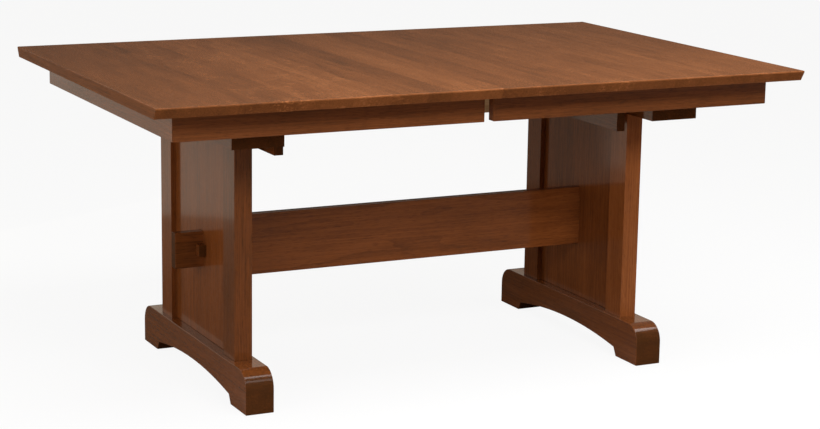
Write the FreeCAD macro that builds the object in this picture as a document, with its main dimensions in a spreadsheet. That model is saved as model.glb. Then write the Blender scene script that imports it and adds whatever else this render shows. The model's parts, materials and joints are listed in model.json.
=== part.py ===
import FreeCAD, Part
import math
import os

import Sketcher
from FreeCAD import Vector

# Trestle dining table with a top that draws apart on geared slides. Millimetres.
# X runs along the table, Y across it, Z up; the origin is on the floor under the middle.

SIZES = [
    # the top
    ("top_length", 1676.4, "closed length of the top"),
    ("top_width", 1066.8, "width of the top"),
    ("top_thickness", 25.4, "thickness of the boards"),
    ("table_height", 762.0, "floor to the top face"),
    ("seam_gap", 0.4, "gap between the closed halves"),
    ("edge_undercut", 13.0, "how far the long edges slope in below"),
    ("edge_nose", 4.0, "upright part of a long edge, above its slope"),
    ("arris_radius", 2.5, "rounding of the upper edges"),
    ("half_travel", 304.8, "how far each half draws out"),
    ("dowel_radius", 5.0, "seam dowel radius"),
    ("dowel_length", 24.0, "seam dowel length"),
    ("dowel_play", 0.3, "clearance round a dowel in its open hole"),
    ("dowel_inset", 76.8, "back of a side apron to the outer dowels"),
    # the aprons
    ("apron_height", 63.5, "height of the aprons"),
    ("apron_thickness", 25.4, "thickness of the aprons"),
    ("side_setback", 71.2, "top edge to the face of a side apron"),
    ("end_setback", 61.7, "top end to the face of an end apron"),
    ("apron_gap", 24.0, "gap between the left and right aprons"),
    ("corner_block_leg", 64.0, "leg of the triangular corner block"),
    ("corner_block_height", 50.0, "height of the corner block"),
    # the trestles
    ("trestle_centre", 530.0, "middle of the table to the middle of a trestle"),
    ("trestle_width", 508.0, "width over the two posts"),
    ("foot_thickness", 70.0, "thickness of a foot"),
    ("foot_length", 717.0, "length of a foot"),
    ("foot_height", 101.6, "height of a foot"),
    ("foot_round", 45.0, "radius of the foot's shoulders"),
    ("pad_length", 99.5, "length of the flat under each end of a foot"),
    ("pad_slope", 12.0, "run of the sloping step behind a pad"),
    ("arch_spring", 22.0, "height at which the arch starts"),
    ("arch_crown", 43.0, "height of the middle of the arch"),
    ("post_thickness", 44.45, "thickness of a post"),
    ("post_width", 73.0, "width of a post"),
    ("post_tenon_thickness", 19.0, "thickness of the stub tenons of a post"),
    ("post_tenon_width", 45.0, "width of the stub tenons of a post"),
    ("post_tenon_length", 20.0, "length of the stub tenons of a post"),
    ("panel_thickness", 19.05, "thickness of a trestle panel"),
    ("panel_tongue", 10.0, "how far the panel enters the groove of a post"),
    # the stretcher
    ("stretcher_height", 152.4, "height of the stretcher"),
    ("stretcher_thickness", 25.4, "thickness of the stretcher"),
    ("stretcher_lift", 245.0, "floor to the underside of the stretcher"),
    ("tenon_height", 88.0, "height of the through tenons"),
    ("tenon_reach", 72.5, "how far a tenon stands out of the panel"),
    ("key_width", 18.0, "width of a tenon key at its middle"),
    ("key_taper", 3.0, "difference in width between the ends of a key"),
    ("key_height", 28.0, "height of a tenon key"),
    ("key_overhang", 22.0, "how far a key stands out of the tenon"),
    # the bearers and cleats
    ("bearer_width", 127.5, "width of a bearer"),
    ("bearer_inboard", 42.0, "trestle middle to the bearer's inner edge"),
    ("bearer_length", 800.0, "length of a bearer"),
    ("bearer_thickness", 37.6, "thickness of a bearer"),
    ("cleat_gap", 16.0, "gap between cleat and bearer"),
    ("cleat_thickness", 23.0, "thickness of a cleat"),
    ("cleat_length", 600.0, "length of a cleat"),
    ("cleat_height", 76.6, "height of a cleat"),
    # the slides
    ("slide_height", 63.5, "bearer to the underside of the top"),
    ("slide_inset", 221.8, "back of a side apron to the middle of a slide"),
    ("centre_rail_width", 28.0, "width of a centre rail"),
    ("centre_rail_drop", 3.5, "clearance between a centre rail and the top"),
    ("moving_rail_width", 24.0, "width of a moving rail"),
    ("moving_rail_tail", 590.0, "seam to the outer end of a moving rail"),
    ("moving_rail_nose", 590.0, "seam to the inner end of a moving rail"),
    ("rail_play", 0.3, "clearance between rails"),
    ("rail_lift", 2.0, "clearance between a moving rail and the bearer"),
    ("rail_relief", 0.8, "clearance over the nose of a moving rail"),
    ("stop_length", 30.0, "length of a stop block along its rail"),
    ("stop_height", 28.0, "height of a stop block"),
    ("stop_play", 0.3, "gap between stop block and cleat at full travel"),
    ("dovetail_level", 42.0, "bearer to the middle of the dovetail"),
    ("dovetail_depth", 7.0, "depth of a dovetail groove"),
    ("dovetail_mouth", 11.0, "height of the groove at its mouth"),
    ("dovetail_back", 17.0, "height of the groove at its back"),
    # the slide gears
    ("gear_module", 3.0, "module of the slide gears"),
    ("pinion_teeth", 12, "number of teeth of a pinion"),
    ("pressure_angle", 25.0, "pressure angle in degrees"),
    ("gear_backlash", 0.45, "backlash on the pitch line"),
    ("gear_side_play", 0.3, "clearance above and below a pinion"),
    ("gear_end_play", 1.2, "clearance past the teeth at the ends of a pinion's window"),
    ("pinion_thickness", 10.0, "thickness of a pinion"),
    ("pinion_level", 16.0, "bearer to the middle of a pinion"),
    ("rack_backing", 4.0, "wood-side backing of a rack"),
    ("rack_run_out", 14.0, "least length of rack past the mesh"),
    ("pin_radius", 4.0, "radius of a pinion pin"),
    ("pin_fit", 0.05, "radial running fit of a pinion on its pin"),
    ("pin_top", 30.0, "bearer to the end of a pinion pin"),
    # the seam locks
    ("lock_inset", 106.8, "back of a side apron to the line of a lock"),
    ("lock_pivot_setback", 28.0, "seam to the pivot of a lever"),
    ("lock_reach", 46.0, "pivot to the stud of a closed lock"),
    ("lock_plate_thickness", 2.0, "thickness of the lock plates"),
    ("lock_plate_length", 52.0, "length of a lock plate"),
    ("lock_plate_width", 36.0, "width of a lock plate"),
    ("lever_thickness", 3.0, "thickness of a lever"),
    ("lever_play", 0.3, "clearance above, below and round the lever"),
    ("lever_hub_radius", 11.0, "radius of the hub of a lever"),
    ("lever_hook_wall", 6.0, "width of the hook outside its slot"),
    ("lever_handle", 34.0, "length of the handle past the hook"),
    ("lever_handle_width", 11.0, "width of the handle"),
    ("keeper_width", 25.0, "width of a keeper's plate"),
    ("rivet_radius", 4.0, "radius of the lever's rivet"),
    ("rivet_head_radius", 7.0, "radius of the rivet's head"),
    ("rivet_head_height", 2.0, "height of the rivet's head"),
    ("stud_radius", 3.5, "radius of the keeper's stud"),
    # the fasteners
    ("bolt_radius", 5.0, "foot bolt shank"),
    ("bolt_head_radius", 9.0, "foot bolt head, over the corners"),
    ("bolt_head_height", 6.0, "foot bolt head"),
    ("bolt_counterbore", 12.0, "radius of the counterbore in a foot"),
    ("bolt_seat", 48.0, "floor to the seat of a foot bolt"),
    ("bolt_length", 130.0, "length of a foot bolt"),
    ("screw_radius", 2.5, "wood screw shank"),
    ("screw_head_radius", 4.5, "wood screw head"),
    ("screw_head_height", 3.0, "wood screw head"),
    ("screw_bite", 18.0, "how far a wood screw enters the piece it holds to"),
    ("rail_screw_cover", 32.0, "wood between a rail screw's head and the top"),
    ("rail_screw_pitch", 220.0, "distance between the screws of a moving rail"),
    ("bearer_screw_length", 95.0, "length of the screws from bearer to post"),
    ("slide_screw_spacing", 30.0, "distance between the screws of a slide"),
    ("cleat_screw_cover", 30.0, "wood between a cleat screw's head and the rail"),
    ("hole_clearance", 0.05, "clearance of a hole round its pin, screw or bolt"),
]

SIDES = (("left", -1), ("right", 1))
ROWS = (("front", -1), ("rear", 1))
DOWELS = 3
SCREWS_PER_RAIL = 3
# Shanks, screw heads and their holes are prisms of few faces.
SHANK_SIDES = 6
COUNTERBORE_SIDES = 12

doc = FreeCAD.newDocument("trestle_dining_table")
sheet = doc.addObject("Spreadsheet::Sheet", "Sizes")
for row, (alias, number, meaning) in enumerate(SIZES, start=1):
    sheet.set(f"A{row}", meaning)
    sheet.set(f"B{row}", str(number))
    sheet.setAlias(f"B{row}", alias)
doc.recompute()


# ---------------------------------------------------------------- sizes that keep their expression

class Size:
    """A size held as a number and as the spreadsheet expression that gives it."""

    def __init__(self, number, text):
        self.number = number
        self.text = text

    def join(self, other, sign, result):
        return Size(result, f"({self.text} {sign} {as_size(other).text})")

    def __add__(self, other):
        return self.join(other, "+", self.number + as_size(other).number)

    def __sub__(self, other):
        return self.join(other, "-", self.number - as_size(other).number)

    def __mul__(self, other):
        return self.join(other, "*", self.number * as_size(other).number)

    def __truediv__(self, other):
        return self.join(other, "/", self.number / as_size(other).number)

    def __neg__(self):
        return as_size(0) - self

    def __rmul__(self, other):
        return as_size(other) * self

    def __radd__(self, other):
        return as_size(other) + self

    def __rsub__(self, other):
        return as_size(other) - self

    def ceil(self):
        return Size(math.ceil(self.number), f"ceil({self.text})")

    def tan(self):
        """Tangent of an angle held in degrees."""
        return Size(math.tan(math.radians(self.number)), f"tan({self.text} * 1deg)")


def as_size(value):
    return value if isinstance(value, Size) else Size(float(value), repr(float(value)))


class Sheet:
    """Reads a cell of the spreadsheet as a Size."""

    def __getattr__(self, alias):
        return Size(float(getattr(sheet, alias)), "Sizes." + alias)


S = Sheet()
ZERO = as_size(0)


def span(one, other):
    """Two limits, the lower one first."""
    one, other = as_size(one), as_size(other)
    return (one, other) if one.number <= other.number else (other, one)


def about(middle, width):
    """The limits of a width centred on middle."""
    return middle - width / 2, middle + width / 2


def bind(thing, path, size):
    thing.setExpression(path, as_size(size).text)


# ---------------------------------------------------------------- bodies, sketches and features

NODES = []


def keep(thing, label):
    """Name a finished sub-part."""
    thing.Label = label
    NODES.append(thing)
    return thing


def new_body(label):
    return keep(doc.addObject("PartDesign::Body", label), label)


def start_sketch(body, role, level):
    """A sketch in one of the body's own planes, moved to a level along that plane's normal."""
    sketch = body.newObject("Sketcher::SketchObject", body.Label + "_sketch")
    plane = next(item for item in body.Origin.OriginFeatures if item.Role == role)
    sketch.AttachmentSupport = [(plane, "")]
    sketch.MapMode = "FlatFace"
    bind(sketch, "AttachmentOffset.Base.z", level)
    return sketch


def pin_point(sketch, element, place, x, y):
    """Hold a point of a sketch at x, y from the sketch's origin."""
    for kind, distance in (("DistanceX", x), ("DistanceY", y)):
        index = sketch.addConstraint(
            Sketcher.Constraint(kind, -1, 1, element, place, as_size(distance).number))
        bind(sketch, f"Constraints[{index}]", distance)


def arc_between(start, end, radius):
    """The short arc of a radius; a positive radius turns left on the way, a negative one right."""
    chord = end - start
    middle = (start + end) / 2
    rise = math.sqrt(max(radius ** 2 - (chord.Length / 2) ** 2, 0.0))
    left = Vector(-chord.y, chord.x, 0).normalize()
    centre = middle + left * (rise if radius > 0 else -rise)
    first, last = (start, end) if radius > 0 else (end, start)
    circle = Part.Circle(centre, Vector(0, 0, 1), abs(radius))
    angles = [math.atan2(point.y - centre.y, point.x - centre.x) for point in (first, last)]
    return Part.ArcOfCircle(circle, angles[0], angles[1])


def draw_outline(sketch, corners):
    """A closed outline. Each corner is (x, y), or (x, y, radius) where an arc leads to it."""
    points = [Vector(as_size(c[0]).number, as_size(c[1]).number, 0) for c in corners]
    sides = []
    for index, corner in enumerate(corners):
        start, end = points[index - 1], points[index]
        if len(corner) == 3:
            radius = as_size(corner[2])
            element = sketch.addGeometry(arc_between(start, end, radius.number), False)
            tail, head = (1, 2) if radius.number > 0 else (2, 1)
        else:
            element = sketch.addGeometry(Part.LineSegment(start, end), False)
            tail, head = 1, 2
        sides.append((element, tail, head))
    for index, (element, tail, head) in enumerate(sides):
        following, next_tail, _ = sides[(index + 1) % len(sides)]
        sketch.addConstraint(Sketcher.Constraint("Coincident", element, head, following, next_tail))
        pin_point(sketch, element, head, corners[index][0], corners[index][1])
        if len(corners[index]) == 3:
            radius = corners[index][2]
            size = radius if as_size(radius).number > 0 else -radius
            limit = sketch.addConstraint(
                Sketcher.Constraint("Radius", element, as_size(size).number))
            bind(sketch, f"Constraints[{limit}]", size)


def draw_circle(sketch, x, y, radius):
    centre = Vector(as_size(x).number, as_size(y).number, 0)
    element = sketch.addGeometry(
        Part.Circle(centre, Vector(0, 0, 1), as_size(radius).number), False)
    pin_point(sketch, element, 3, x, y)
    limit = sketch.addConstraint(Sketcher.Constraint("Radius", element, as_size(radius).number))
    bind(sketch, f"Constraints[{limit}]", radius)


def levels(role, limits):
    """Where a feature starts and ends along the normal of its sketch plane.

    The XZ plane looks towards -Y, so its levels run the other way."""
    low, high = limits
    return (-high, -low) if role == "XZ_Plane" else (low, high)


def pad(body, role, limits, *outlines, circles=()):
    """Add material between two limits along the normal of an origin plane."""
    bottom, top = levels(role, limits)
    sketch = start_sketch(body, role, bottom)
    for corners in outlines:
        draw_outline(sketch, corners)
    for circle in circles:
        draw_circle(sketch, *circle)
    feature = body.newObject("PartDesign::Pad", body.Label + "_pad")
    feature.Profile = sketch
    bind(feature, "Length", top - bottom)
    return feature


def cut(body, role, limits, *outlines, circles=()):
    """Take material away between two limits along the normal of an origin plane."""
    doc.recompute()
    before = body.Shape.Volume
    bottom, top = levels(role, limits)
    sketch = start_sketch(body, role, top)
    for corners in outlines:
        draw_outline(sketch, corners)
    for circle in circles:
        draw_circle(sketch, *circle)
    feature = body.newObject("PartDesign::Pocket", body.Label + "_cut")
    feature.Profile = sketch
    bind(feature, "Length", top - bottom)
    doc.recompute()
    if body.Shape.Volume >= before:
        raise RuntimeError(f"{feature.Name} of {body.Label} removes nothing")
    return feature


def rectangle(x, y):
    return [(x[0], y[0]), (x[1], y[0]), (x[1], y[1]), (x[0], y[1])]


def board(label, x, y, z):
    """A square-edged board between three pairs of faces."""
    body = new_body(label)
    pad(body, "XY_Plane", z, rectangle(x, y))
    return body


def polygon(x, y, radius, sides):
    """The corners of a regular outline round a point, the first one towards +X."""
    turns = [math.tau * index / sides for index in range(sides)]
    return [(x + round(math.cos(turn), 9) * radius, y + round(math.sin(turn), 9) * radius)
            for turn in turns]


def drill(body, places, radius, z, sides=SHANK_SIDES):
    """Upright holes with flat sides, at each of the places."""
    cut(body, "XY_Plane", z, *[polygon(x, y, radius, sides) for x, y in places])


# ---------------------------------------------------------------- levels and lines shared by pieces

underside = S.table_height - S.top_thickness
apron_bottom = underside - S.apron_height
bearer_top = underside - S.slide_height
bearer_bottom = bearer_top - S.bearer_thickness
post_edge = S.trestle_width / 2
post_inner_edge = post_edge - S.post_width
post_middle = post_edge - S.post_width / 2
panel_inner = S.trestle_centre - S.panel_thickness / 2
panel_outer = S.trestle_centre + S.panel_thickness / 2
stretcher_top = S.stretcher_lift + S.stretcher_height
stretcher_middle = S.stretcher_lift + S.stretcher_height / 2
bearer_inner = S.trestle_centre - S.bearer_inboard
bearer_outer = bearer_inner + S.bearer_width
cleat_outer = bearer_inner - S.cleat_gap
cleat_inner = cleat_outer - S.cleat_thickness
apron_face = S.top_width / 2 - S.side_setback
apron_back = apron_face - S.apron_thickness
end_apron_face = S.top_length / 2 - S.end_setback
end_apron_back = end_apron_face - S.apron_thickness
slide_middle = apron_back - S.slide_inset
screw_hole = S.screw_radius + S.hole_clearance
screw_head_hole = S.screw_head_radius + S.hole_clearance
bolt_hole = S.bolt_radius + S.hole_clearance


# ---------------------------------------------------------------- trestles

def post_places(sign):
    """The middles of a trestle's two posts, where its foot bolts and bearer screws stand."""
    return [(sign * S.trestle_centre, row_sign * post_middle) for _, row_sign in ROWS]


def make_foot(side, sign):
    """A foot lying across the table: flat pads, a sloping step, a low arch and round shoulders."""
    half = S.foot_length / 2
    pad_end = half - S.pad_length
    spring = pad_end - S.pad_slope
    rise = S.arch_crown - S.arch_spring
    arch_radius = (spring * spring + rise * rise) / (2 * rise)
    shoulder = half - S.foot_round
    shoulder_level = S.foot_height - S.foot_round
    outline = [
        (-half, ZERO), (-pad_end, ZERO), (-spring, S.arch_spring),
        (spring, S.arch_spring, -arch_radius),
        (pad_end, ZERO), (half, ZERO), (half, shoulder_level),
        (shoulder, S.foot_height, S.foot_round),
        (-shoulder, S.foot_height), (-half, shoulder_level, S.foot_round),
    ]
    body = new_body(f"{side}_foot")
    pad(body, "YZ_Plane", about(sign * S.trestle_centre, S.foot_thickness), outline)
    for _, row_sign in ROWS:
        cut(body, "XY_Plane", (S.foot_height - S.post_tenon_length, S.foot_height),
            post_tenon_section(sign, row_sign))
    bolts = post_places(sign)
    drill(body, bolts, bolt_hole, (ZERO, S.foot_height - S.post_tenon_length))
    drill(body, bolts, S.bolt_counterbore, (ZERO, S.bolt_seat), COUNTERBORE_SIDES)


def post_tenon_section(sign, row_sign):
    return rectangle(about(sign * S.trestle_centre, S.post_tenon_thickness),
                     about(row_sign * post_middle, S.post_tenon_width))


def make_post(side, sign, row, row_sign):
    """An upright with a stub tenon at each end and a groove for the panel in its inner edge."""
    body = board(f"{side}_{row}_post", about(sign * S.trestle_centre, S.post_thickness),
                 span(row_sign * post_inner_edge, row_sign * post_edge),
                 (S.foot_height, bearer_bottom))
    pad(body, "XY_Plane",
        (S.foot_height - S.post_tenon_length, bearer_bottom + S.post_tenon_length),
        post_tenon_section(sign, row_sign))
    groove = span(row_sign * post_inner_edge, row_sign * (post_inner_edge + S.panel_tongue))
    cut(body, "XY_Plane", (S.foot_height, bearer_bottom),
        rectangle(about(sign * S.trestle_centre, S.panel_thickness), groove))
    place = [(sign * S.trestle_centre, row_sign * post_middle)]
    drill(body, place, bolt_hole,
          (S.foot_height - S.post_tenon_length, S.bolt_seat + S.bolt_length))
    drill(body, place, screw_hole,
          (bearer_top - S.bearer_screw_length, bearer_bottom + S.post_tenon_length))


def make_panel(side, sign):
    """The board between the posts, with a through mortise for the stretcher's tenon."""
    reach = post_inner_edge + S.panel_tongue
    body = board(f"{side}_panel", about(sign * S.trestle_centre, S.panel_thickness),
                 (-reach, reach), (S.foot_height, bearer_bottom))
    cut(body, "YZ_Plane", about(sign * S.trestle_centre, S.panel_thickness),
        rectangle(about(ZERO, S.stretcher_thickness), about(stretcher_middle, S.tenon_height)))


def make_bearer(side, sign):
    """The flat board across a trestle that carries the slides."""
    body = board(f"{side}_bearer", span(sign * bearer_inner, sign * bearer_outer),
                 about(ZERO, S.bearer_length), (bearer_bottom, bearer_top))
    for _, row_sign in ROWS:
        cut(body, "XY_Plane", (bearer_bottom, bearer_bottom + S.post_tenon_length),
            post_tenon_section(sign, row_sign))
    posts = post_places(sign)
    drill(body, posts, screw_hole, (bearer_bottom + S.post_tenon_length, bearer_top))
    drill(body, posts, screw_head_hole, (bearer_top - S.screw_head_height, bearer_top))
    drill(body, slide_screw_places(sign), screw_hole, (bearer_bottom, bearer_top))


def slide_screw_places(sign):
    """Screws from the bearer up into the centre rails, outboard of the posts."""
    outboard = S.trestle_centre + S.post_thickness / 2
    middle = (outboard + bearer_outer) / 2
    return [(sign * x, row_sign * slide_middle)
            for _, row_sign in ROWS for x in about(middle, S.slide_screw_spacing)]


def make_cleat(side, sign):
    """The board on edge that ties the two slides together and stops the moving rails."""
    body = board(f"{side}_slide_cleat", span(sign * cleat_inner, sign * cleat_outer),
                 about(ZERO, S.cleat_length), (bearer_top - S.cleat_height, bearer_top))
    places = cleat_screw_places(sign)
    seat = bearer_top - S.cleat_screw_cover
    drill(body, places, screw_hole, (seat, bearer_top))
    drill(body, places, screw_head_hole, (bearer_top - S.cleat_height, seat))


def cleat_screw_places(sign):
    """Screws up through a cleat into the centre rails."""
    middle = (cleat_inner + cleat_outer) / 2
    return [(sign * middle, row_sign * slide_middle) for _, row_sign in ROWS]


# ---------------------------------------------------------------- stretcher and its keys

def key_corners(sign, half_length):
    """A key in plan: straight against the panel, tapering on its outer side towards the rear."""
    near = panel_outer
    slope = S.key_taper / (S.stretcher_thickness + 2 * S.key_overhang)
    front = near + S.key_width + slope * half_length
    rear = near + S.key_width - slope * half_length
    return [(sign * near, -half_length), (sign * front, -half_length),
            (sign * rear, half_length), (sign * near, half_length)]


def make_stretcher():
    """One board on edge with shouldered tenons that pass through both panels."""
    body = new_body("stretcher")
    tip = panel_outer + S.tenon_reach
    low, high = about(stretcher_middle, S.tenon_height)
    outline = [
        (-panel_inner, S.stretcher_lift), (panel_inner, S.stretcher_lift),
        (panel_inner, low), (tip, low), (tip, high), (panel_inner, high),
        (panel_inner, stretcher_top), (-panel_inner, stretcher_top),
        (-panel_inner, high), (-tip, high), (-tip, low), (-panel_inner, low),
    ]
    pad(body, "XZ_Plane", about(ZERO, S.stretcher_thickness), outline)
    for _, sign in SIDES:
        cut(body, "XY_Plane", about(stretcher_middle, S.key_height),
            key_corners(sign, S.stretcher_thickness / 2))


def make_key(side, sign):
    body = new_body(f"{side}_tenon_key")
    pad(body, "XY_Plane", about(stretcher_middle, S.key_height),
        key_corners(sign, S.stretcher_thickness / 2 + S.key_overhang))


# ---------------------------------------------------------------- slides

pinion_middle = bearer_top + S.pinion_level
pitch = math.pi * S.gear_module
pitch_radius = S.gear_module * S.pinion_teeth / 2
ADDENDUM = 1.0
DEDENDUM = 1.25
FLANK_FACETS = 2
tip_radius = pitch_radius + ADDENDUM * S.gear_module
root_radius = pitch_radius - DEDENDUM * S.gear_module
rack_tip = pitch_radius - ADDENDUM * S.gear_module
rack_root = pitch_radius + DEDENDUM * S.gear_module
rack_back = rack_root + S.rack_backing
gear_window = S.pinion_thickness + 2 * S.gear_side_play
# A rack's first gap is centred on the pinion; whole gaps follow until the travel is covered.
gaps_before = (S.rack_run_out / pitch).ceil()
gaps_after = ((S.rack_run_out + S.half_travel) / pitch).ceil()
rack_near_end = pitch * (gaps_before + 0.5)
rack_far_end = pitch * (gaps_after + 0.5)
rail_face = S.centre_rail_width / 2 + S.rail_play
rail_outer_face = rail_face + S.moving_rail_width


def make_centre_rail(row, row_sign):
    """The fixed rail of a slide: a dovetail groove in each side and a window for the pinion."""
    body = new_body(f"{row}_centre_rail")
    middle = row_sign * slide_middle
    side_face = S.centre_rail_width / 2
    groove_back = side_face - S.dovetail_depth
    level = bearer_top + S.dovetail_level
    top = underside - S.centre_rail_drop
    mouth = S.dovetail_mouth / 2
    back = S.dovetail_back / 2
    right_side = [
        (middle + side_face, bearer_top), (middle + side_face, level - mouth),
        (middle + groove_back, level - back), (middle + groove_back, level + back),
        (middle + side_face, level + mouth), (middle + side_face, top),
    ]
    left_side = [
        (middle - side_face, top), (middle - side_face, level + mouth),
        (middle - groove_back, level + back), (middle - groove_back, level - back),
        (middle - side_face, level - mouth), (middle - side_face, bearer_top),
    ]
    pad(body, "YZ_Plane", (-bearer_outer, bearer_outer), right_side + left_side)
    window = tip_radius + S.gear_end_play
    cut(body, "XZ_Plane", about(middle, S.centre_rail_width),
        rectangle((-window, window), about(pinion_middle, gear_window)))
    cut(body, "XY_Plane", (bearer_top, bearer_top + S.pin_top),
        circles=[(ZERO, middle, S.pin_radius + S.hole_clearance)])
    screws = [place for _, sign in SIDES
              for place in slide_screw_places(sign) + cleat_screw_places(sign)
              if place[1].number * row_sign > 0]
    drill(body, screws, screw_hole, (bearer_top, bearer_top + S.screw_bite))


def make_moving_rail(row, row_sign, side, sign):
    """A rail with a dovetail tongue and a rack groove on its inner side.

    The left half's rails run outside the centre rails and the right half's rails inside them.
    Each rail is screwed to its own half and reaches past the seam under the other half."""
    body = new_body(f"{row}_{side}_moving_rail")
    outward = -sign * row_sign
    middle = row_sign * slide_middle

    def across(distance):
        return middle + outward * distance

    level = bearer_top + S.dovetail_level
    bottom = bearer_top + S.rail_lift
    slope = (S.dovetail_back - S.dovetail_mouth) / 2 / S.dovetail_depth
    shrink = S.rail_play + S.rail_play * slope
    neck = S.dovetail_mouth / 2 - shrink
    tip = S.dovetail_back / 2 - shrink
    tongue_tip = S.centre_rail_width / 2 - S.dovetail_depth + S.rail_play
    section = [
        (across(rail_outer_face), bottom), (across(rail_outer_face), underside),
        (across(rail_face), underside), (across(rail_face), level + neck),
        (across(tongue_tip), level + tip), (across(tongue_tip), level - tip),
        (across(rail_face), level - neck), (across(rail_face), bottom),
    ]
    tail, nose = sign * S.moving_rail_tail, -sign * S.moving_rail_nose
    pad(body, "YZ_Plane", span(tail, nose), section)
    cut(body, "XZ_Plane", span(across(rail_face), across(rack_back)),
        rectangle(span(sign * rack_near_end, -sign * rack_far_end),
                  about(pinion_middle, gear_window)))
    cut(body, "XZ_Plane", span(across(tongue_tip), across(rail_outer_face)),
        rectangle(span(sign * S.apron_gap, nose), (underside - S.rail_relief, underside)))
    places = rail_screw_places(row_sign, sign)
    seat = underside - S.rail_screw_cover
    drill(body, places, screw_hole, (seat, underside))
    drill(body, places, screw_head_hole, (bottom, seat))


def rail_screw_places(row_sign, sign):
    """Screws up through a moving rail into the top, in the wood behind its rack."""
    line = row_sign * slide_middle - sign * row_sign * (rack_back + rail_outer_face) / 2
    first = S.moving_rail_tail - S.rail_screw_pitch * (SCREWS_PER_RAIL - 0.5)
    return [(sign * (first + S.rail_screw_pitch * index), line)
            for index in range(SCREWS_PER_RAIL)]


def make_stop_blocks(side, sign):
    """Blocks under a half's moving rails that meet its cleat when the half is fully drawn out."""
    face = cleat_inner - S.half_travel - S.stop_play
    bottom = bearer_top + S.rail_lift
    blocks = []
    for row, row_sign in ROWS:
        inner = row_sign * slide_middle - sign * row_sign * rail_face
        outer = row_sign * slide_middle - sign * row_sign * rail_outer_face
        x = span(sign * face, sign * (face - S.stop_length))
        y = span(inner, outer)
        block = doc.addObject("Part::Box", f"{side}_{row}_stop_block")
        for path, size in (("Length", x[1] - x[0]), ("Width", y[1] - y[0]),
                           ("Height", S.stop_height), ("Placement.Base.x", x[0]),
                           ("Placement.Base.y", y[0]), ("Placement.Base.z", bottom - S.stop_height)):
            bind(block, path, size)
        blocks.append(block)
    group(f"{side}_stop_blocks", blocks)


def make_rack(row, row_sign, side, sign):
    """A toothed strip let into a moving rail. One gap is cut and repeated along the strip."""
    body = new_body(f"{row}_{side}_rack")
    outward = -sign * row_sign
    middle = row_sign * slide_middle

    def across(distance):
        return middle + outward * distance

    height = about(pinion_middle, gear_window)
    near, far = sign * rack_near_end, -sign * rack_far_end
    pad(body, "XY_Plane", height,
        rectangle(span(near, far), span(across(rack_tip), across(rack_back))))
    gap_at_pitch = (pitch + S.gear_backlash) / 4
    slope = S.pressure_angle.tan() * S.gear_module
    mouth = gap_at_pitch + slope * ADDENDUM
    root = gap_at_pitch - slope * DEDENDUM
    first = sign * pitch * gaps_before
    gap = cut(body, "XY_Plane", height, [
        (first - mouth, across(rack_tip)), (first - root, across(rack_root)),
        (first + root, across(rack_root)), (first + mouth, across(rack_tip))])
    pattern = body.newObject("PartDesign::LinearPattern", body.Label + "_gaps")
    pattern.Originals = [gap]
    pattern.Direction = (gap.Profile[0], ["H_Axis"])
    pattern.Reversed = sign > 0
    bind(pattern, "Length", pitch * (gaps_before + gaps_after))
    bind(pattern, "Occurrences", gaps_before + gaps_after + 1)
    body.Tip = pattern


def involute_point(base_radius, radius, turn):
    """A point of the flank at a radius; turn is the polar angle of the flank's foot."""
    roll = math.sqrt((radius / base_radius) ** 2 - 1)
    angle = turn + roll - math.atan(roll)
    return Vector(radius * math.cos(angle), radius * math.sin(angle), 0)


def pinion_outline():
    """Involute teeth, the first one centred on +Y, each flank in a few straight facets."""
    teeth = int(S.pinion_teeth.number)
    base = pitch_radius.number * math.cos(math.radians(S.pressure_angle.number))
    tip, root = tip_radius.number, root_radius.number
    roll = math.tan(math.radians(S.pressure_angle.number))
    width = math.pi / 2 * S.gear_module.number - S.gear_backlash.number / 2
    half_tooth = width / 2 / pitch_radius.number
    foot = -half_tooth - (roll - math.atan(roll))
    flank = [Vector(root * math.cos(foot), root * math.sin(foot), 0)]
    flank += [involute_point(base, base + (tip - base) * step / FLANK_FACETS, foot)
              for step in range(FLANK_FACETS + 1)]
    tooth = flank + [Vector(point.x, -point.y, 0) for point in reversed(flank)]
    corners = []
    for index in range(teeth):
        turn = FreeCAD.Rotation(Vector(0, 0, 1), 90 + index * 360 / teeth)
        corners += [turn.multVec(point) for point in tooth]
    return Part.makePolygon(corners + corners[:1])


def make_pinion(row, row_sign):
    """The gear between the two racks of a slide, free on its pin."""
    bore = S.pin_radius.number + S.pin_fit.number
    rim = Part.Face(pinion_outline())
    hole = Part.Face(Part.Wire(Part.Circle(Vector(), Vector(0, 0, 1), bore).toShape()))
    blank = rim.cut(hole).extrude(Vector(0, 0, S.pinion_thickness.number))
    pinion = doc.addObject("Part::Feature", f"{row}_pinion")
    pinion.Shape = blank
    bind(pinion, "Placement.Base.y", row_sign * slide_middle)
    bind(pinion, "Placement.Base.z", pinion_middle - S.pinion_thickness / 2)
    keep(pinion, f"{row}_pinion")


# ---------------------------------------------------------------- pins and fasteners

def upright(kind, name, place, limits):
    """An upright Part primitive standing on its lower limit."""
    low, high = limits
    item = doc.addObject(kind, name)
    for path, size in (("Height", high - low), ("Placement.Base.x", place[0]),
                       ("Placement.Base.y", place[1]), ("Placement.Base.z", low)):
        bind(item, path, size)
    return item


def prism(name, place, radius, limits):
    item = upright("Part::Prism", name, place, limits)
    item.Polygon = SHANK_SIDES
    bind(item, "Circumradius", radius)
    return item


def group(label, pieces):
    """Like pieces kept together as one sub-part of separate solids."""
    item = doc.addObject("Part::Compound", label)
    item.Links = pieces
    return keep(item, label)


def fasteners(label, places, seat, tip, shank, head, head_height):
    """Fasteners whose heads bear on the level seat and whose shanks end at the level tip."""
    outside = seat - head_height if tip.number > seat.number else seat + head_height
    pieces = []
    for index, place in enumerate(places, start=1):
        name = f"{label}_{index}"
        piece = doc.addObject("Part::Fuse", name)
        piece.Base = prism(name + "_head", place, head, span(outside, seat))
        piece.Tool = prism(name + "_shank", place, shank, span(seat, tip))
        pieces.append(piece)
    group(label, pieces)


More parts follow.
